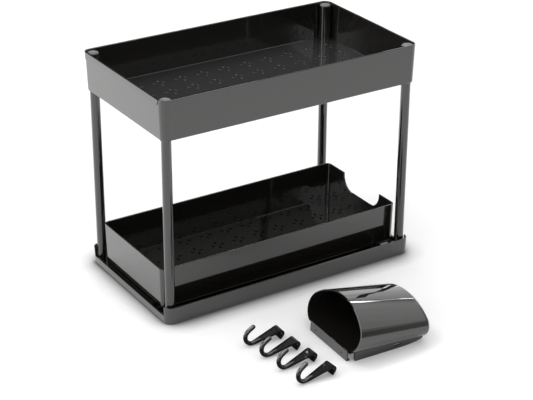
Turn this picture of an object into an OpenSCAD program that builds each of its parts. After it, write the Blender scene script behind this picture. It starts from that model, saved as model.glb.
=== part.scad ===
/* [Upper tray] */
// Length of the upper tray over its rim
tray_l = 400; // [320:1:480]
// Width of the upper tray over its rim
tray_w = 220; // [182:1:264]
// Height of the upper tray's walls
tray_h = 56; // [40:0.5:80]
// Wall thickness of the upper tray
tray_wall = 2.2; // [1.8:0.1:3]
// Floor thickness of the upper tray
tray_floor = 2.2; // [1.6:0.1:3]
// How far each wall leans in from the rim to the underside
tray_draft = 1.6; // [0.4:0.1:2]
// Corner radius of the upper tray at the rim
tray_r = 10; // [9:0.5:16]
// Height of the thicker band round the rim
band_h = 10.5; // [8:0.5:16]
// How far the band stands proud of the wall
band_out = 0.6; // [0.5:0.1:1.6]

/* [Posts] */
// Length of each post
post_len = 312.1; // [220:0.1:380]
// Outer diameter of each post
post_d = 13.5; // [12:0.1:14.6]
// Wall thickness of each post
post_wall = 1.5; // [1:0.1:2]
// Distance of a post from the upper tray's rim
post_edge = 3.75; // [3.25:0.05:5.25]
// Wall round a post's socket in the upper tray
sleeve_wall = 1.4; // [1:0.1:1.6]
// Gap round a post in its socket
post_gap = 0.2; // [0.1:0.05:0.4]

/* [Post caps] */
// Diameter of a cap's disc
cap_d = 14.8; // [12:0.1:15]
// Thickness of a cap's disc
cap_t = 1.6; // [1:0.1:2.4]
// Length of a cap's plug
plug_len = 9; // [5:0.5:14]
// Depth of a socket's top edge below the rim
cap_drop = 3.6; // [1.5:0.1:4]

/* [Base] */
// How far the base reaches past the upper tray at each short side
base_over_x = 0.5; // [0:0.1:4]
// How far the base reaches past the upper tray at each long side
base_over_y = 1.3; // [0:0.1:4]
// Height of the base's long walls
base_h = 23.9; // [18:0.1:32]
// Height of the low lip at each short side
lip_h = 9.9; // [7:0.1:12]
// Wall thickness of the base
base_wall = 2.4; // [1.8:0.1:3]
// Floor thickness of the base
base_floor = 2.4; // [2:0.1:3]
// Corner radius of the base
base_r = 10.5; // [9:0.5:14]
// Height of the pegs that the posts stand on
peg_h = 16; // [10:1:24]

/* [Drawer] */
// Gap between the drawer and a post, across the base
drawer_post_gap = 8.3; // [5:0.1:14]
// Gap between the drawer and the inner face of a lip
drawer_end_gap = 5.6; // [5:0.1:10]
// Height of the drawer
drawer_h = 60.2; // [40:0.1:90]
// Wall thickness of the drawer
drawer_wall = 2; // [1.6:0.1:3]
// Corner radius of the drawer at its rim
drawer_r = 7; // [7:0.5:12]
// How far each drawer wall leans in from the rim to the underside
drawer_draft = 1.2; // [0.4:0.1:1.4]
// How far the drawer opens
travel = 250; // [150:5:260]
// Width of the finger scoop
scoop_w = 89; // [60:1:120]
// Depth of the finger scoop
scoop_h = 25.4; // [15:0.1:35]

/* [Drain holes] */
// Distance between neighbouring rosettes
pitch = 35; // [30:0.5:44]
// Length of one petal-shaped hole
petal_l = 7; // [5:0.1:7.4]
// Width of one petal-shaped hole
petal_w = 3.4; // [2:0.1:4]
// Distance of a petal's middle from the rosette's centre
petal_at = 7.35; // [6:0.05:9]

/* [Hanging cup] */
// Depth of the cup from its mouth to its bottom
cup_l = 119.4; // [90:0.1:140]
// Width of the cup's mouth
cup_w = 125.2; // [112:0.1:134]
// Height of the cup's mouth above its flat back
cup_h = 59.4; // [56:0.1:72]
// Width of the cup's flat back at the mouth
cup_back = 98.3; // [90:0.1:108]
// Radius of the cup's round sides
cup_end_r = 22.6; // [18:0.1:23]
// Width of the cup's bottom as a share of its mouth
cup_narrow = 0.93; // [0.85:0.01:1]
// Height of the cup's bottom as a share of its mouth
cup_sink = 0.76; // [0.7:0.01:1]
// Wall thickness of the cup
cup_wall = 2; // [1.5:0.1:3]
// Slant of the mouth from square to the cup's length
cup_slant = 16.7; // [0:0.1:18]
// Height of the hanging channel behind the cup
channel_h = 13.2; // [8:0.1:16]
// Length of the channel's lip
channel_lip = 5; // [4:0.5:7]
// Width of the channel along the mouth
channel_w = 89.2; // [60:0.1:90]
// Depth of the side skirts at the far end of the cup
skirt_far = 5.5; // [2:0.1:8]

/* [Hooks] */
// Radius of a hook's round end at the middle of its rod
hook_r = 10.6; // [9:0.1:14]
// Diameter of a hook's rod
hook_rod = 6; // [4:0.1:7]
// Thickness of a hook's shank and clip
hook_t = 3.2; // [2:0.1:3.6]
// Length of a hook's straight shank
hook_shank = 36; // [30:1:50]
// Width of a hook at its clip
hook_wide = 15.2; // [12:0.1:20]

/* [Hidden] */
$fn = 64;
pad_d = 14;
pad_t = 1.6;
pad_proud = 0.6;
floor_z = -pad_proud;
slide_gap = 0.3;
lift_gap = 0.6;
ledge_t = 2;
rim_r = 0.7;
cap_edge = 0.8;
dish_r = 5.4;
dish = 0.6;
peg_gap = 0.1;
plug_gap = 0.1;
base_draft = 0.5;
post_x = tray_l / 2 - post_edge - post_d / 2;
post_y = tray_w / 2 - post_edge - post_d / 2;
bore_d = post_d + 2 * post_gap;
sleeve_d = bore_d + 2 * sleeve_wall;
post_bore = post_d - 2 * post_wall;
tray_z = base_floor + post_len + ledge_t + cap_drop - tray_h;
base_l = tray_l + 2 * base_over_x;
base_w = tray_w + 2 * base_over_y;
lip_x = base_l / 2 - base_wall - base_draft;
drawer_l = 2 * (base_l / 2 - base_wall - drawer_end_gap);
drawer_w = 2 * (post_y - post_d / 2 - drawer_post_gap);
drawer_z = lip_h + lift_gap;
rail_w = 3;
rail_y = drawer_w / 4 + 18;
side_play = 2.8;
rail_top = drawer_z - slide_gap;
rib_w = 2;
rib_h = 6;
scoop_y = -3;
scoop_r = 22;
// The drawer lies to the near side of its play, and its home end almost meets the stop
drawer_x = -1.9;
drawer_y = -2.5;
rib_rear = drawer_x - drawer_l / 2 + drawer_draft + 0.4;
rib_front = lip_x - travel - slide_gap;
stop_t = 2.4;

black = [0.1, 0.1, 0.11];
grey = [0.5, 0.5, 0.52];
rubber = [0.16, 0.16, 0.16];

// Corners in order: front left, front right, back right, back left
corners = [[-1, -1], [1, -1], [1, 1], [-1, 1]];

// Sweeps a wall section, drawn with its outer face at x = 0, round a rectangle with round corners
module swept(l, w, r) {
    for (i = [0:3])
        translate([corners[i][0] * (l / 2 - r), corners[i][1] * (w / 2 - r), 0])
            rotate([0, 0, 180 + 90 * i]) rotate_extrude(angle = 90) translate([r, 0]) children();
    for (i = [0:3]) {
        along = i % 2 == 0 ? w : l;
        out = i % 2 == 0 ? l : w;
        rotate([0, 0, 90 * i]) translate([out / 2, 0, 0])
            rotate([90, 0, 0]) linear_extrude(height = along - 2 * r, center = true) children();
    }
}

// Section of a moulded wall that leans out to its round rim, with a piece of the floor it stands on
module wall_section(h, t, floor_t, draft, out_r, in_r) {
    foot = wall_foot(t, draft, out_r, in_r);
    polygon(concat(
        [for (a = [0:30:90]) [-rim_r + rim_r * cos(a), h - rim_r + rim_r * sin(a)]],
        [for (a = [90:30:180]) [-t + rim_r + rim_r * cos(a), h - rim_r + rim_r * sin(a)]],
        [for (a = [0:-15:-90])
            [-(draft + t + in_r) + in_r * cos(a), floor_t + in_r + in_r * sin(a)]],
        [[-foot, floor_t], [-foot, 0]],
        [for (a = [-90:15:0]) [-(draft + out_r) + out_r * cos(a), out_r + out_r * sin(a)]]
    ));
}

function wall_foot(t, draft, out_r, in_r) = draft + max(out_r, t + in_r) + 1;

// Rectangle with round corners
module round_plate(l, w, r) {
    square([l - 2 * r, w], center = true);
    square([l, w - 2 * r], center = true);
    for (c = corners) translate([c[0] * (l / 2 - r), c[1] * (w / 2 - r)]) circle(r);
}

// Open moulded tub: walls swept round a flat floor
module tub(l, w, r, h, t, floor_t, draft, out_r, in_r) {
    inset = wall_foot(t, draft, out_r, in_r) - 0.5;
    swept(l, w, r) wall_section(h, t, floor_t, draft, out_r, in_r);
    linear_extrude(height = floor_t) round_plate(l - 2 * inset, w - 2 * inset, r - inset);
}

// One petal: the overlap of two circles
module petal() {
    big = (petal_l * petal_l + petal_w * petal_w) / (4 * petal_w);
    intersection() {
        translate([0, big - petal_w / 2]) circle(big);
        translate([0, petal_w / 2 - big]) circle(big);
    }
}

// Rosettes of four petals, as many as fit on a floor of this length and width
module rosettes(l, w, t) {
    reach = petal_at + petal_l / 2;
    nx = floor((l / 2 - reach) / pitch);
    ny = floor((w / 2 - reach) / pitch);
    translate([0, 0, -1]) linear_extrude(height = t + 2)
        for (ix = [-nx:nx], iy = [-ny:ny], a = [0:90:270])
            translate([ix * pitch, iy * pitch]) rotate(a) translate([petal_at, 0]) petal();
}

// Section of the thicker band, rim at z = 0 and the wall's outer face at x = 0
module band_section() {
    embed = rim_r + 0.3;
    low_r = 0.8 * band_out;
    polygon(concat(
        [for (a = [0:30:90]) [band_out - rim_r + rim_r * cos(a), -rim_r + rim_r * sin(a)]],
        [[-embed, 0], [-embed, -band_h]],
        [for (a = [-90:30:0]) [band_out - low_r + low_r * cos(a), -band_h + low_r + low_r * sin(a)]]
    ));
}

// Thicker band round the back and both short sides, its lower edge curving up before the front corners
module rim_band() translate([0, 0, tray_h]) difference() {
    swept(tray_l, tray_w, tray_r) band_section();
    rotate([90, 0, 90]) linear_extrude(height = tray_l + 20, center = true) difference() {
        translate([-tray_w / 2 - 10, -2 * band_h]) square([tray_r + 10 + band_h, 3 * band_h]);
        translate([-tray_w / 2 + tray_r + band_h, 0]) circle(band_h);
        translate([-tray_w / 2 + tray_r + band_h, 0]) square([1, 1]);
    }
}

module upper_tray() color(black) translate([0, 0, tray_z]) difference() {
    union() {
        tub(tray_l, tray_w, tray_r, tray_h, tray_wall, tray_floor, tray_draft, out_r = 2, in_r = 0.6);
        rim_band();
        for (c = corners) translate([c[0] * post_x, c[1] * post_y, 0])
            cylinder(d = sleeve_d, h = tray_h - cap_drop);
    }
    for (c = corners) translate([c[0] * post_x, c[1] * post_y, 0]) {
        translate([0, 0, -1]) cylinder(d = bore_d, h = tray_h - cap_drop - ledge_t + 1);
        cylinder(d = post_bore + 2 * plug_gap, h = tray_h);
    }
    rosettes(tray_l - 2 * (tray_draft + tray_wall), tray_w - 2 * (tray_draft + tray_wall), tray_floor);
}

module post(i) color(black) translate([corners[i][0] * post_x, corners[i][1] * post_y, base_floor])
    difference() {
        cylinder(d = post_d, h = post_len);
        translate([0, 0, -1]) cylinder(d = post_bore, h = post_len + 2);
    }

// Disc with a round edge and a dished top, and a plug that closes the post
module post_cap(i) color(grey)
    translate([corners[i][0] * post_x, corners[i][1] * post_y, tray_z + tray_h - cap_drop]) {
        rotate_extrude() polygon(concat(
            [[0, 0], [cap_d / 2, 0]],
            [for (a = [0:30:90]) [cap_d / 2 - cap_edge + cap_edge * cos(a), cap_t - cap_edge + cap_edge * sin(a)]],
            [for (k = [1:-0.25:0]) [dish_r * k, cap_t - dish * (1 - k * k)]]
        ));
        translate([0, 0, -plug_len]) cylinder(d = post_bore - 2 * plug_gap, h = plug_len + 0.5);
    }

module base() color(black) difference() {
    union() {
        difference() {
            tub(base_l, base_w, base_r, base_h, base_wall, base_floor, base_draft, out_r = 1.2, in_r = 0.6);
            // The short sides are cut down to a low lip
            translate([-base_l / 2 - 1, -base_w / 2 + base_r, lip_h])
                cube([base_l + 2, base_w - 2 * base_r, base_h]);
        }
        for (c = corners) translate([c[0] * post_x, c[1] * post_y, base_floor / 2])
            cylinder(d = post_bore - 2 * peg_gap, h = base_floor / 2 + peg_h);
        for (s = [-1, 1]) translate([-lip_x, s * rail_y - rail_w / 2, base_floor / 2])
            cube([2 * lip_x, rail_w, rail_top - base_floor / 2]);
        translate([rib_rear - slide_gap - stop_t, -rail_y, base_floor / 2])
            cube([stop_t, 2 * rail_y, lip_h - base_floor / 2]);
    }
    for (i = [0:3]) foot_place(i) translate([0, 0, -1]) cylinder(d = pad_d + 0.4, h = pad_t - pad_proud + 1);
}

module foot_place(i)
    translate([corners[i][0] * (post_x - 22), corners[i][1] * (post_y - 16), 0]) children();

module foot_pad(i) color(rubber) foot_place(i)
    translate([0, 0, -pad_proud]) cylinder(d = pad_d, h = pad_t);

// Outline of the finger scoop, its middle at y = 0 and the drawer's rim at z = drawer_h
module scoop() {
    low = drawer_h - scoop_h;
    translate([-scoop_w / 2, low + scoop_r]) square([scoop_w, scoop_h]);
    translate([-scoop_w / 2 + scoop_r, low]) square([scoop_w - 2 * scoop_r, scoop_r + 1]);
    for (s = [-1, 1]) translate([s * (scoop_w / 2 - scoop_r), low + scoop_r]) circle(scoop_r);
}

module drawer() color(black) {
    translate([drawer_x, drawer_y, drawer_z]) difference() {
        tub(drawer_l, drawer_w, drawer_r, drawer_h, drawer_wall, drawer_wall, drawer_draft,
            out_r = 4.5, in_r = 0.4);
        translate([drawer_l / 2 - 8, scoop_y, 0]) rotate([90, 0, 90]) linear_extrude(height = 20) scoop();
        rosettes(drawer_l - 2 * (drawer_draft + drawer_wall), drawer_w - 2 * (drawer_draft + drawer_wall),
                 drawer_wall);
    }
    // Pairs of guide ribs that straddle the base's rails and stop against its lip
    for (s = [-1, 1], t = [-1, 1]) {
        middle = drawer_y + s * rail_y + t * (rail_w / 2 + side_play + rib_w / 2);
        translate([rib_rear, middle - rib_w / 2, drawer_z - rib_h])
            cube([rib_front - rib_rear, rib_w, rib_h + 1]);
    }
}

// Half-oval outline of the mouth, its flat back on y = 0, drawn in by a wall and scaled each way
cup_end_at = cup_w / 2 - cup_end_r;
cup_mid = sqrt(pow(cup_end_r, 2) - pow(cup_back / 2 - cup_end_at, 2));
cup_rise = cup_h - cup_mid;
cup_top_r = (pow(cup_end_at, 2) + pow(cup_rise, 2) - pow(cup_end_r, 2)) / (2 * (cup_rise - cup_end_r));
cup_drop = cup_h - cup_top_r;
cup_lean = atan2(cup_mid - cup_drop, cup_end_at);

function cup_outline(inset, share) =
    let (r = cup_end_r - inset, low = asin((cup_mid - inset) / r))
    [for (p = concat(
        [for (i = [0:12]) let (a = -low + (low + cup_lean) * i / 12)
            [cup_end_at + r * cos(a), cup_mid + r * sin(a)]],
        [for (i = [1:11]) let (a = cup_lean + (180 - 2 * cup_lean) * i / 12)
            [(cup_top_r - inset) * cos(a), cup_drop + (cup_top_r - inset) * sin(a)]],
        [for (i = [0:12]) let (a = 180 - cup_lean + (low + cup_lean) * i / 12)
            [-cup_end_at + r * cos(a), cup_mid + r * sin(a)]]
    )) [p[0] * (1 - (1 - cup_narrow) * share), p[1] * (1 - (1 - cup_sink) * share)]];

cup_edge_r = 5;
cup_rest = cup_l - cup_edge_r;
cup_tilt = atan((channel_h - skirt_far) / (cup_rest - channel_lip));
strip_t = 2;
strip_hole_at = 31.9;
skirt_t = 2;
skirt_at = 8.8;
skirt_r = 3;
skirt_curl = 38;
slot_at = [74, -2.4];
slot_l = 12;
slot_w = 2.2;
slot_turn = 6;
cup_place = [-46.5, -264.2];
cup_yaw = -2.7;

// Body of the cup, from its start to a bottom with a round edge
module cup_body(start, end, inset, edge) hull() {
    for (s = concat([[start, 0]], [for (a = [0:22.5:90]) [end - edge + edge * sin(a), edge * (1 - cos(a))]]))
        translate([s[0], 0, 0]) rotate([90, 0, 90]) linear_extrude(height = 0.01)
            polygon(cup_outline(inset + s[1], s[0] / cup_l));
}

module cup_shape() {
    difference() {
        union() {
            cup_body(0, cup_l, 0, cup_edge_r);
            for (s = [-1, 1]) translate([0, s * (cup_back / 2 + 0.3 - skirt_t / 2) + skirt_t / 2, 0])
                rotate([90, 0, 0]) linear_extrude(height = skirt_t) skirt();
        }
        cup_body(-4, cup_l - cup_wall - 0.5, cup_wall, cup_edge_r - cup_wall);
        rotate([0, cup_slant, 0]) translate([-40, -100, -1]) cube([40, 200, 100]);
    }
    // Strip at the mouth with two small holes, and the short lip that hooks over a rim
    difference() {
        translate([0, -channel_w / 2, -channel_h]) cube([strip_t, channel_w, channel_h + 1]);
        for (s = [-1, 1])
            translate([-1, s * strip_hole_at, -channel_h / 2]) rotate([0, 90, 0]) cylinder(d = 2, h = 4);
    }
    translate([0, -channel_w / 2, -channel_h]) cube([channel_lip, channel_w, strip_t]);
}

// Side of a skirt: starts behind the strip with a round corner, keeps to the plane that the lip and
// both skirts rest on, and curls up to the cup's bottom; a slanted slot goes through it
module skirt() {
    plane = function(x) (x - channel_lip) * tan(cup_tilt) - channel_h;
    curl_at = cup_rest - skirt_curl;
    difference() {
        polygon(concat(
            [[skirt_at, 6]],
            [for (a = [180:22.5:270])
                [skirt_at + skirt_r * (1 + cos(a)), plane(skirt_at + skirt_r) + skirt_r * (1 + sin(a))]],
            [for (a = [0:11.25:90]) let (x = curl_at + skirt_curl * sin(a)) [x, plane(x) * cos(a)]],
            [[cup_rest, 6]]
        ));
        translate(slot_at) rotate(slot_turn) round_slot(slot_l, slot_w);
    }
}

module round_slot(l, w) {
    square([l - w, w], center = true);
    for (s = [-1, 1]) translate([s * (l - w) / 2, 0]) circle(d = w);
}

module hanging_cup() color(black)
    translate([each cup_place, floor_z + channel_h * cos(cup_tilt) + channel_lip * sin(cup_tilt)])
        rotate([0, 0, cup_yaw]) rotate([0, cup_tilt, 0]) cup_shape();

// Angles and small forms of a hook; its round end's centre is the origin
hook_open = 122;
hook_rise = 15;
hook_tip = 8;
flatten_l = 9;
clip_r = 3.9;
clip_turn = 146;
clip_leg = 6;
rail_t = 1.2;
recess = 0.8;
// The parts of a hook run into each other by the lap, the inner one smaller by the step
lap = 0.6;
lap_step = 0.1;
hook_start = hook_r * [cos(hook_open), sin(hook_open)];
hook_foot = hook_r * [sin(hook_rise), -cos(hook_rise)];

// Round end: a rod bent from the shank's foot round to a straight tip with a ball end
module hook_bend() rotate([90, 0, 0]) {
    rotate([0, 0, hook_open]) rotate_extrude(angle = 270 + hook_rise - hook_open)
        translate([hook_r, 0]) circle(d = hook_rod);
    translate([each hook_start, 0]) rotate([0, 0, hook_open]) rotate([90, 0, 0]) {
        translate([0, 0, -lap]) cylinder(d = hook_rod - lap_step, h = hook_tip + lap);
        translate([0, 0, hook_tip]) sphere(d = hook_rod);
    }
}

// Plan of the shank, widening from the rod to the clip and drawn in by an edge
module shank_plan(edge, from, to) {
    half = function(x) (hook_rod + (hook_wide - hook_rod) * x / hook_shank) / 2 - edge;
    polygon([[from, -half(from)], [to, -half(to)], [to, half(to)], [from, half(from)]]);
}

// Shank and clip: the rod flattens into a widening plate, sunk between two rails, that curls down
module hook_plate() {
    translate([-lap, 0, 0]) rotate([0, 90, 0])
        cylinder(d1 = hook_rod - lap_step, d2 = hook_t, h = flatten_l + lap);
    difference() {
        translate([0, 0, -hook_t / 2]) linear_extrude(height = hook_t)
            shank_plan(0, -lap, hook_shank + lap);
        translate([0, 0, hook_t / 2 - recess]) linear_extrude(height = hook_t) {
            shank_plan(rail_t, flatten_l, hook_shank - rail_t);
            translate([flatten_l, 0])
                circle(d = hook_rod + (hook_wide - hook_rod) * flatten_l / hook_shank - 2 * rail_t);
        }
    }
    translate([hook_shank, 0, -clip_r]) rotate([90, 0, 0]) rotate([0, 0, 90 - clip_turn]) {
        rotate_extrude(angle = clip_turn) translate([clip_r, 0]) clip_section();
        translate([clip_r, 0]) rotate([90, 0, 0]) linear_extrude(height = clip_leg) clip_section();
    }
}

module clip_section() square([hook_t + lap_step, hook_wide + 2 * lap_step], center = true);

// Places of the four hooks: x and y of the round end's centre, and how far each is turned
hook_places = [[-129.7, -210.5, -2.1], [-127.3, -245.7, -0.7], [-124.8, -281.9, 1], [-122.2, -322.1, 3.2]];

module hook(i) color(black)
    translate([hook_places[i][0], hook_places[i][1], floor_z + hook_r + hook_rod / 2])
        rotate([0, 0, hook_places[i][2]]) {
            hook_bend();
            translate([hook_foot[0], 0, hook_foot[1]]) rotate([0, -hook_rise, 0]) hook_plate();
        }

base();
foot_pad(0);  // foot_pad_1
foot_pad(1);  // foot_pad_2
foot_pad(2);  // foot_pad_3
foot_pad(3);  // foot_pad_4
post(0);  // post_1
post(1);  // post_2
post(2);  // post_3
post(3);  // post_4
upper_tray();
post_cap(0);  // post_cap_1
post_cap(1);  // post_cap_2
post_cap(2);  // post_cap_3
post_cap(3);  // post_cap_4
drawer();
hanging_cup();
hook(0);  // hook_1
hook(1);  // hook_2
hook(2);  // hook_3
hook(3);  // hook_4
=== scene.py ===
import math

import bpy
from mathutils import Matrix, Vector


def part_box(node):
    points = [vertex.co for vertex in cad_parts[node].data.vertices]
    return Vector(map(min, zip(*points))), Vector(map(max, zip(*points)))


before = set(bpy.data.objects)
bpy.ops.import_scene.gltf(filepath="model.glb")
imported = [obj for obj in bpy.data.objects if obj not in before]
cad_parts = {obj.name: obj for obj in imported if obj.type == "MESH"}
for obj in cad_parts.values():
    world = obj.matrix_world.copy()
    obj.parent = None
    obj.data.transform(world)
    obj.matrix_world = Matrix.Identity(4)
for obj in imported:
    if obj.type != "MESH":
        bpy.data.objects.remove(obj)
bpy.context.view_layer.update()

# The room: a white floor that runs out of sight under a pale sky, and soft lamps round it.
# The camera stands where the photograph's straight edges put it.
mm = 0.001
floor_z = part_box("foot_pad_1")[0][2]
photo_width_px = 533
focal_px = 1538.65
camera_turn = math.radians(-32.64)
camera_lift = math.radians(25.95)
camera_roll = math.radians(0.34)
camera_far = 2161.6 * mm
aim = Vector((0, 0, 150 * mm + floor_z))
aim_right = 21.19 * mm
aim_up = -54.22 * mm

back = Vector((math.sin(camera_turn) * math.cos(camera_lift),
               -math.cos(camera_turn) * math.cos(camera_lift), math.sin(camera_lift)))
level_right = Vector((0, 0, 1)).cross(back).normalized()
level_up = back.cross(level_right)
right = level_right * math.cos(camera_roll) + level_up * math.sin(camera_roll)
up = level_up * math.cos(camera_roll) - level_right * math.sin(camera_roll)
camera_data = bpy.data.cameras.new("camera")
camera_data.sensor_fit = "HORIZONTAL"
camera_data.sensor_width = 36
camera_data.lens = focal_px / photo_width_px * camera_data.sensor_width
camera = bpy.data.objects.new("camera", camera_data)
turn = Matrix((right, up, back)).transposed().to_4x4()
camera.matrix_world = Matrix.Translation(aim + back * camera_far + right * aim_right + up * aim_up) @ turn
bpy.context.collection.objects.link(camera)
bpy.context.scene.camera = camera
bpy.context.scene.view_settings.view_transform = "Standard"


def node(tree, kind, **values):
    made = tree.nodes.new(kind)
    for key, value in values.items():
        if hasattr(made, key):
            setattr(made, key, value)
        else:
            made.inputs[key.replace("_", " ")].default_value = value
    return made


def lamp(name, place, target, size, glow):
    data = bpy.data.lights.new(name, "AREA")
    data.shape = "RECTANGLE"
    data.size, data.size_y = size
    data.energy = glow * math.pi * size[0] * size[1]
    made = bpy.data.objects.new(name, data)
    made.location = place
    made.rotation_euler = (Vector(target) - Vector(place)).to_track_quat("-Z", "Y").to_euler()
    bpy.context.collection.objects.link(made)
    return made


# The walls are dark behind the object up to the soft box, grey in front of it, and pale overhead
def sky(tree, heights):
    ramp = node(tree, "ShaderNodeValToRGB")
    first, last = ramp.color_ramp.elements
    first.position, last.position = heights[0][0], heights[-1][0]
    first.color = (*[heights[0][1]] * 3, 1)
    last.color = (*[heights[-1][1]] * 3, 1)
    for height, tone in heights[1:-1]:
        ramp.color_ramp.elements.new(height).color = (tone, tone, tone, 1)
    return ramp


back_wall = ((0.0, 1.0), (0.04, 1.0), (0.08, 0.04), (0.52, 0.04), (0.62, 1.0), (1.0, 1.0))
front_wall = ((0.0, 0.6), (0.08, 0.18), (0.45, 0.18), (0.62, 0.9), (1.0, 0.9))
side_wall = ((0.0, 0.95), (0.1, 0.75), (0.3, 0.6), (0.5, 0.62), (0.75, 0.75), (1.0, 0.85))
world = bpy.data.worlds.new("white_room")
bpy.context.scene.world = world
world.use_nodes = True
air = world.node_tree
room = air.nodes["Background"]
heading = node(air, "ShaderNodeTexCoord")
split = node(air, "ShaderNodeSeparateXYZ")
air.links.new(heading.outputs["Generated"], split.inputs[0])
behind = sky(air, back_wall)
before = sky(air, front_wall)
beside = sky(air, side_wall)
air.links.new(split.outputs["Z"], beside.inputs["Fac"])
air.links.new(split.outputs["Z"], behind.inputs["Fac"])
air.links.new(split.outputs["Z"], before.inputs["Fac"])
toward = node(air, "ShaderNodeVectorMath", operation="DOT_PRODUCT")
air.links.new(heading.outputs["Generated"], toward.inputs[0])
toward.inputs[1].default_value = (0.54, 0.84, 0)
half = node(air, "ShaderNodeMapRange", From_Min=0.0, From_Max=0.3)
air.links.new(toward.outputs["Value"], half.inputs["Value"])
rightward = node(air, "ShaderNodeVectorMath", operation="DOT_PRODUCT")
air.links.new(heading.outputs["Generated"], rightward.inputs[0])
rightward.inputs[1].default_value = (0.98, -0.17, 0)
quarter = node(air, "ShaderNodeMapRange", From_Min=0.7, From_Max=0.88)
air.links.new(rightward.outputs["Value"], quarter.inputs["Value"])
near_walls = node(air, "ShaderNodeMix", data_type="RGBA")
air.links.new(quarter.outputs[0], near_walls.inputs["Factor"])
air.links.new(before.outputs["Color"], near_walls.inputs["A"])
air.links.new(beside.outputs["Color"], near_walls.inputs["B"])
walls = node(air, "ShaderNodeMix", data_type="RGBA")
air.links.new(half.outputs[0], walls.inputs["Factor"])
air.links.new(near_walls.outputs["Result"], walls.inputs["A"])
air.links.new(behind.outputs["Color"], walls.inputs["B"])
air.links.new(walls.outputs["Result"], room.inputs["Color"])
room.inputs["Strength"].default_value = 1
seen = node(air, "ShaderNodeBackground", Color=(1, 1, 1, 1), Strength=1.0)
path = node(air, "ShaderNodeLightPath")
pick = node(air, "ShaderNodeMixShader")
air.links.new(path.outputs["Is Camera Ray"], pick.inputs[0])
air.links.new(room.outputs[0], pick.inputs[1])
air.links.new(seen.outputs[0], pick.inputs[2])
air.links.new(pick.outputs[0], air.nodes["World Output"].inputs["Surface"])


lamp("left_window", (-2.6, 0.6, 1.0), (0, 0, 0.15), (2.2, 1.6), 2.4)
lamp("right_softbox", (1.94, 1.03, 0.75), (0, -0.1, 0.7), (1.6, 1.4), 0.95)
lamp("bright_edge", (1.92, 1.02, 1.5), (0, -0.3, 0.06), (1.6, 0.035), 9.0)
lamp("overhead", (0.1, 1.3, 2.3), (0, 0, 0.1), (2.4, 1.2), 2.0)
lamp("front_strip", (-1.5, -2.3, 1.7), (0, 0, 0.3), (0.4, 1.2), 3.0)
lamp("key", (-0.9, 0.5, 1.9), (0, 0, 0), (0.5, 0.5), 6.0)

floor_reach = 30
floor_mesh = bpy.data.meshes.new("floor")
floor_mesh.from_pydata([(x, y, floor_z) for x, y in
                        ((-floor_reach, -floor_reach), (floor_reach, -floor_reach),
                         (floor_reach, floor_reach), (-floor_reach, floor_reach))], [], [(0, 1, 2, 3)])
floor = bpy.data.objects.new("floor", floor_mesh)
bpy.context.collection.objects.link(floor)
paper = bpy.data.materials.new("white_paper_with_painted_shadow")
paper.use_nodes = True
sheet = paper.node_tree
matt_paper = sheet.nodes["Principled BSDF"]
matt_paper.inputs["Roughness"].default_value = 0.9
matt_paper.inputs["Specular IOR Level"].default_value = 0
# Painted shadow: ambient occlusion darkens the floor's colour near the parts, for camera rays only and
# mostly beside the rack, as a painted contact shadow
painted_contact_shadow = node(sheet, "ShaderNodeAmbientOcclusion", samples=8, Distance=0.035)
shade = node(sheet, "ShaderNodeMapRange", From_Min=0.45, From_Max=0.98, To_Min=0.05, To_Max=0.95)
sheet.links.new(painted_contact_shadow.outputs["AO"], shade.inputs["Value"])
eye = node(sheet, "ShaderNodeLightPath")
spot = node(sheet, "ShaderNodeTexCoord")
depth = node(sheet, "ShaderNodeSeparateXYZ")
sheet.links.new(spot.outputs["Object"], depth.inputs[0])
beside = node(sheet, "ShaderNodeMapRange", From_Min=-0.19, From_Max=-0.15, To_Min=0.2)
sheet.links.new(depth.outputs["Y"], beside.inputs["Value"])
painted_shadow_mask = node(sheet, "ShaderNodeMath", operation="MULTIPLY")
sheet.links.new(eye.outputs["Is Camera Ray"], painted_shadow_mask.inputs[0])
sheet.links.new(beside.outputs[0], painted_shadow_mask.inputs[1])
tone = node(sheet, "ShaderNodeMix", data_type="FLOAT")
tone.inputs["A"].default_value = 0.95
sheet.links.new(painted_shadow_mask.outputs[0], tone.inputs["Factor"])
sheet.links.new(shade.outputs[0], tone.inputs["B"])
sheet.links.new(tone.outputs["Result"], matt_paper.inputs["Base Color"])
glow = node(sheet, "ShaderNodeEmission", Color=(0.98, 0.98, 1, 1))
front = node(sheet, "ShaderNodeMapRange", From_Min=0.25, From_Max=-0.1, To_Min=0.0, To_Max=0.24)
sheet.links.new(depth.outputs["Y"], front.inputs["Value"])
lift = node(sheet, "ShaderNodeMath", operation="MULTIPLY")
sheet.links.new(eye.outputs["Is Camera Ray"], lift.inputs[0])
sheet.links.new(front.outputs[0], lift.inputs[1])
# The camera-only lift is scaled by the same painted shadow, so the painted shadow stays in the white
# floor
lift_with_painted_shadow = node(sheet, "ShaderNodeMath", operation="MULTIPLY")
sheet.links.new(lift.outputs[0], lift_with_painted_shadow.inputs[0])
sheet.links.new(tone.outputs["Result"], lift_with_painted_shadow.inputs[1])
sheet.links.new(lift_with_painted_shadow.outputs[0], glow.inputs["Strength"])
lit = node(sheet, "ShaderNodeAddShader")
sheet.links.new(matt_paper.outputs[0], lit.inputs[0])
sheet.links.new(glow.outputs[0], lit.inputs[1])
sheet.links.new(lit.outputs[0], sheet.nodes["Material Output"].inputs["Surface"])
floor_mesh.materials.append(paper)


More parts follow.
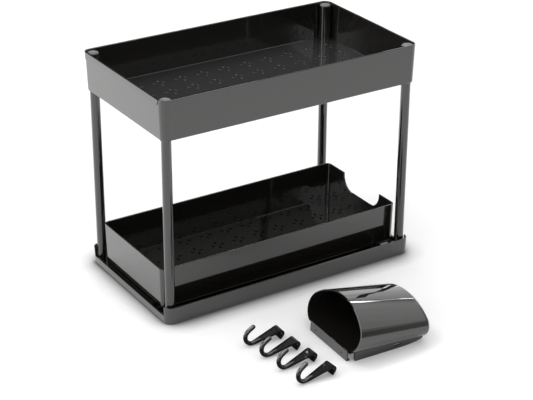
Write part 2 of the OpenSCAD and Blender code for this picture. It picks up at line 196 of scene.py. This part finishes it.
# Base: a shallow injection-moulded tray in glossy black plastic that carries the whole rack.
# The mould leaves a fine peel on the skin and long flow lines, and handling adds dust and dull marks.
def skin_group():
    tree = bpy.data.node_groups.new("moulded_skin", "ShaderNodeTree")
    sockets = (("Tone", "NodeSocketColor", (0.01, 0.01, 0.01, 1)), ("Gloss", "NodeSocketFloat", 0.05),
               ("Marks", "NodeSocketFloat", 0.05), ("Dust", "NodeSocketFloat", 0.1),
               ("Flow", "NodeSocketVector", (8, 60, 60)), ("Floor Height", "NodeSocketFloat", -1.0),
               ("Floor Tone With Painted Light", "NodeSocketFloat", 0.022))
    for name, kind, value in sockets:
        tree.interface.new_socket(name, in_out="INPUT", socket_type=kind).default_value = value
    for name, kind in (("Color", "NodeSocketColor"), ("Roughness", "NodeSocketFloat"),
                       ("Height", "NodeSocketFloat")):
        tree.interface.new_socket(name, in_out="OUTPUT", socket_type=kind)
    link = tree.links.new
    given = node(tree, "NodeGroupInput")
    out = node(tree, "NodeGroupOutput")
    place = node(tree, "ShaderNodeTexCoord")
    cloudy = node(tree, "ShaderNodeTexNoise", Scale=11.0, Detail=4.0, Roughness=0.6)
    peel = node(tree, "ShaderNodeTexNoise", Scale=700.0, Detail=2.0)
    specks = node(tree, "ShaderNodeTexVoronoi", Scale=420.0)
    for texture in (cloudy, peel, specks):
        link(place.outputs["Object"], texture.inputs["Vector"])
    drawn = node(tree, "ShaderNodeVectorMath", operation="MULTIPLY")
    link(place.outputs["Object"], drawn.inputs[0])
    link(given.outputs["Flow"], drawn.inputs[1])
    lines = node(tree, "ShaderNodeTexNoise", Scale=1.0, Detail=3.0, Roughness=0.55)
    link(drawn.outputs[0], lines.inputs["Vector"])

    # Dust lies on faces that look up, in small specks
    facing = node(tree, "ShaderNodeNewGeometry")
    upward = node(tree, "ShaderNodeSeparateXYZ")
    link(facing.outputs["Normal"], upward.inputs[0])
    lying = node(tree, "ShaderNodeMapRange", From_Min=0.3, From_Max=1.0)
    link(upward.outputs["Z"], lying.inputs["Value"])
    speck = node(tree, "ShaderNodeMapRange", From_Min=0.14, From_Max=0.05)
    link(specks.outputs["Distance"], speck.inputs["Value"])
    patch = node(tree, "ShaderNodeMapRange", From_Min=0.52, From_Max=0.7)
    link(cloudy.outputs["Fac"], patch.inputs["Value"])
    film = node(tree, "ShaderNodeMath", operation="MULTIPLY")
    link(speck.outputs[0], film.inputs[0])
    link(patch.outputs[0], film.inputs[1])
    lain = node(tree, "ShaderNodeMath", operation="MULTIPLY")
    link(film.outputs[0], lain.inputs[0])
    link(lying.outputs[0], lain.inputs[1])
    dusty = node(tree, "ShaderNodeMath", operation="MULTIPLY")
    link(lain.outputs[0], dusty.inputs[0])
    link(given.outputs["Dust"], dusty.inputs[1])

    shade = node(tree, "ShaderNodeMapRange", To_Min=0.85, To_Max=1.15)
    link(lines.outputs["Fac"], shade.inputs["Value"])
    tint = node(tree, "ShaderNodeVectorMath", operation="SCALE")
    link(given.outputs["Tone"], tint.inputs[0])
    link(shade.outputs[0], tint.inputs["Scale"])
    # The mould of a floor is spark-eroded, so the plastic there is matt. Its colour there is set per part
    # as painted light and shade: paler on the open tray floor, darker on the drawer floor under the tray
    height = node(tree, "ShaderNodeSeparateXYZ")
    link(place.outputs["Object"], height.inputs[0])
    low = node(tree, "ShaderNodeMath", operation="LESS_THAN")
    link(height.outputs["Z"], low.inputs[0])
    link(given.outputs["Floor Height"], low.inputs[1])
    flat = node(tree, "ShaderNodeMath", operation="GREATER_THAN")
    link(upward.outputs["Z"], flat.inputs[0])
    flat.inputs[1].default_value = 0.95
    eroded_and_painted_floor = node(tree, "ShaderNodeMath", operation="MULTIPLY")
    link(low.outputs[0], eroded_and_painted_floor.inputs[0])
    link(flat.outputs[0], eroded_and_painted_floor.inputs[1])
    matt_and_painted_floor_colour = node(tree, "ShaderNodeMix", data_type="RGBA")
    link(eroded_and_painted_floor.outputs[0], matt_and_painted_floor_colour.inputs["Factor"])
    link(tint.outputs[0], matt_and_painted_floor_colour.inputs["A"])
    link(given.outputs["Floor Tone With Painted Light"], matt_and_painted_floor_colour.inputs["B"])
    coloured = node(tree, "ShaderNodeMix", data_type="RGBA")
    coloured.inputs["B"].default_value = (0.3, 0.29, 0.27, 1)
    link(dusty.outputs[0], coloured.inputs["Factor"])
    link(matt_and_painted_floor_colour.outputs["Result"], coloured.inputs["A"])
    link(coloured.outputs["Result"], out.inputs["Color"])

    dull = node(tree, "ShaderNodeMath", operation="MULTIPLY_ADD")
    link(cloudy.outputs["Fac"], dull.inputs[0])
    link(given.outputs["Marks"], dull.inputs[1])
    link(given.outputs["Gloss"], dull.inputs[2])
    rough = node(tree, "ShaderNodeMath", operation="MULTIPLY_ADD")
    link(eroded_and_painted_floor.outputs[0], rough.inputs[0])
    rough.inputs[1].default_value = 0.12
    link(dull.outputs[0], rough.inputs[2])
    link(rough.outputs[0], out.inputs["Roughness"])

    skin_height = node(tree, "ShaderNodeMath", operation="ADD")
    link(peel.outputs["Fac"], skin_height.inputs[0])
    link(lines.outputs["Fac"], skin_height.inputs[1])
    link(skin_height.outputs[0], out.inputs["Height"])
    return tree


skin = skin_group()
mirror_index = 1.58


def plastic(name, tone, gloss=0.04, marks=0.04, dust=0.1, flow=(8, 60, 60), coat=1.0, peel=0.06,
            floor_height=-1.0, floor_tone_with_painted_light=0.02, index=None):
    material = bpy.data.materials.new(name)
    material.use_nodes = True
    tree = material.node_tree
    shader = tree.nodes["Principled BSDF"]
    shader.inputs["IOR"].default_value = index or mirror_index
    shader.inputs["Coat Weight"].default_value = coat
    shader.inputs["Coat IOR"].default_value = mirror_index
    shader.inputs["Coat Roughness"].default_value = 0.03
    finish = node(tree, "ShaderNodeGroup", node_tree=skin)
    finish.inputs["Tone"].default_value = (*tone, 1)
    finish.inputs["Gloss"].default_value = gloss
    finish.inputs["Marks"].default_value = marks
    finish.inputs["Dust"].default_value = dust
    finish.inputs["Flow"].default_value = flow
    finish.inputs["Floor Height"].default_value = floor_height
    finish.inputs["Floor Tone With Painted Light"].default_value = floor_tone_with_painted_light
    tree.links.new(finish.outputs["Color"], shader.inputs["Base Color"])
    tree.links.new(finish.outputs["Roughness"], shader.inputs["Roughness"])
    bump = node(tree, "ShaderNodeBump", Strength=peel, Distance=0.0002)
    tree.links.new(finish.outputs["Height"], bump.inputs["Height"])
    tree.links.new(bump.outputs["Normal"], shader.inputs["Normal"])
    return material


def wear(names, material):
    for name in names:
        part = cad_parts[name]
        part.data.materials.clear()
        part.data.materials.append(material)


black = (0.011, 0.0105, 0.009)
wear(["base"], plastic("base_plastic", black))

# Foot pads: die-cut rubber discs stuck into shallow pockets under the base.
# The rubber is dull and grips the floor.
pads = ["foot_pad_1", "foot_pad_2", "foot_pad_3", "foot_pad_4"]
wear(pads, plastic("pad_rubber", (0.03, 0.03, 0.03), gloss=0.6, marks=0.2, dust=0.3, coat=0.0, peel=0.3))

# Posts: extruded black tubes that push onto the base's pegs.
# Drawing leaves faint lines along their length and a slightly softer gloss.
posts = ["post_1", "post_2", "post_3", "post_4"]
wear(posts, plastic("post_plastic", black, gloss=0.08, marks=0.05, dust=0.05, flow=(300, 300, 3)))

# Upper tray: the same moulding as the base but deeper, with corner sockets that drop over the posts.
# Rosettes of petal-shaped holes drain its floor.
# Its floor colour is paler than its walls: a matt finish, plus painted light
wear(["upper_tray"], plastic("tray_plastic", black, floor_height=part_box("upper_tray")[0][2] + 6 * mm, floor_tone_with_painted_light=0.03))

# Post caps: small satin discs with a dished face, pushed into the posts through the tray's corners.
wear(["post_cap_1", "post_cap_2", "post_cap_3", "post_cap_4"],
     plastic("cap_plastic", (0.19, 0.19, 0.192), gloss=0.3, marks=0.1, coat=0.0))

# Drawer: a third moulded tub that slides on the base's rails, with a finger scoop at one end.
# Its floor colour is darker than its walls: painted shade under the upper tray
wear(["drawer"], plastic("drawer_plastic", black, dust=0.05, floor_height=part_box("drawer")[0][2] + 6 * mm, floor_tone_with_painted_light=0.006))

# Hanging cup: one thin moulding with a higher gloss than the trays.
# Its mould was turned and polished, so the curved skin has no flats.
def polish(names, sharpest):
    tree = bpy.data.node_groups.new("polished_skin", "GeometryNodeTree")
    tree.interface.new_socket("Geometry", in_out="INPUT", socket_type="NodeSocketGeometry")
    tree.interface.new_socket("Geometry", in_out="OUTPUT", socket_type="NodeSocketGeometry")
    given = node(tree, "NodeGroupInput")
    out = node(tree, "NodeGroupOutput")
    plain = node(tree, "GeometryNodeRemoveAttribute")
    plain.inputs["Name"].default_value = "custom_normal"
    joined = node(tree, "GeometryNodeMergeByDistance", Distance=0.00001)
    bend = node(tree, "GeometryNodeInputMeshEdgeAngle")
    gentle = node(tree, "FunctionNodeCompare", data_type="FLOAT", operation="LESS_THAN")
    gentle.inputs[1].default_value = sharpest
    faces = node(tree, "GeometryNodeSetShadeSmooth", domain="FACE")
    edges = node(tree, "GeometryNodeSetShadeSmooth", domain="EDGE")
    tree.links.new(given.outputs[0], plain.inputs[0])
    tree.links.new(plain.outputs[0], joined.inputs[0])
    tree.links.new(joined.outputs[0], faces.inputs[0])
    tree.links.new(faces.outputs[0], edges.inputs[0])
    tree.links.new(bend.outputs["Unsigned Angle"], gentle.inputs[0])
    tree.links.new(gentle.outputs[0], edges.inputs["Shade Smooth"])
    tree.links.new(edges.outputs[0], out.inputs[0])
    for name in names:
        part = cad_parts[name]
        part.modifiers.new("polish", "NODES").node_group = tree
        part.modifiers.new("even_light", "WEIGHTED_NORMAL").keep_sharp = True


polish(["hanging_cup"], math.radians(25))
wear(["hanging_cup"], plastic("cup_plastic", black, gloss=0.03, marks=0.03, peel=0.03))

# Hooks: small solid mouldings in deep black, polished by their mould.
hooks = ["hook_1", "hook_2", "hook_3", "hook_4"]
polish(hooks, math.radians(35))
hook_skin = plastic("hook_plastic", (0.004, 0.004, 0.004), gloss=0.05, marks=0.04, index=1.22, dust=0.0)
hook_tree = hook_skin.node_tree
seat = node(hook_tree, "ShaderNodeTexCoord")
rise = node(hook_tree, "ShaderNodeSeparateXYZ")
top_side = node(hook_tree, "ShaderNodeMapRange", From_Min=0.1, From_Max=0.5, To_Min=0.0, To_Max=1.0)
hook_tree.links.new(seat.outputs["Normal"], rise.inputs[0])
hook_tree.links.new(rise.outputs["Z"], top_side.inputs["Value"])
hook_tree.links.new(top_side.outputs[0], hook_tree.nodes["Principled BSDF"].inputs["Coat Weight"])
hook_tree.nodes["Principled BSDF"].inputs["Coat IOR"].default_value = 2.2
wear(hooks, hook_skin)
